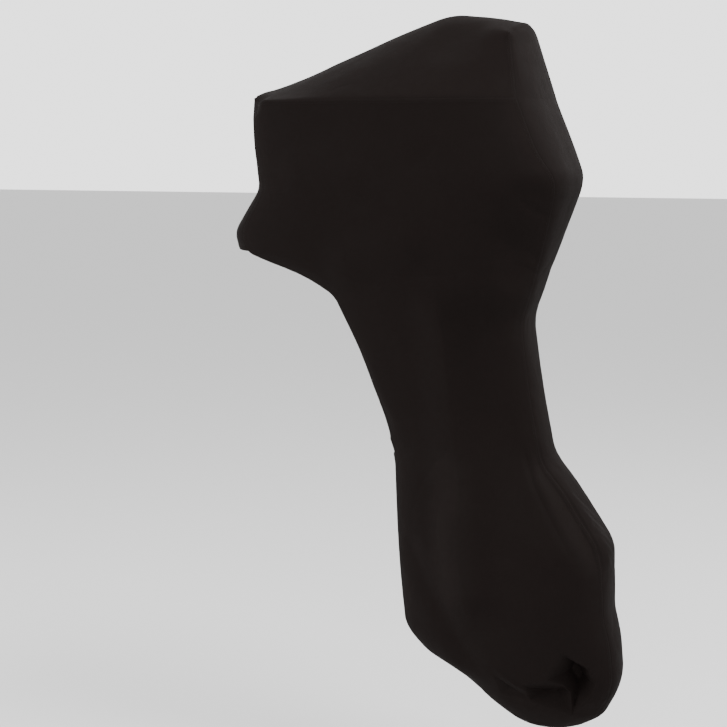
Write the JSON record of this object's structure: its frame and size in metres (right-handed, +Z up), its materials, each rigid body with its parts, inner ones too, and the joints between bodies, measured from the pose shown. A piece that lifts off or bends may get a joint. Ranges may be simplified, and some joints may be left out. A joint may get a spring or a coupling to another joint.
{
  "type": "outboard marine engine cover",
  "caption": "Full-length fitted fabric cover for an outboard marine engine: pitched crown, deep head with a short chin, waisted leg open in front and a wide boot tucked under.",
  "frame": {"origin": "where the inside of the crown rests on the top of the engine, on the centre line, under the crown's highest point", "axes": "+X points aft, away from the open mouth in front; +Z is up; +Y is the starboard side of the cover"},
  "size_m": [0.8818, 0.4361, 1.5445],
  "materials": {
    "cover_cloth": "matt black woven polyester, softly creased"
  },
  "bodies": {
    "root": {"crown_panel": "cover_cloth", "front_panel": "cover_cloth", "side_panel_port": "cover_cloth", "side_panel_starboard": "cover_cloth", "aft_gusset": "cover_cloth", "boot_gusset": "cover_cloth"}
  },
  "joints": []
}
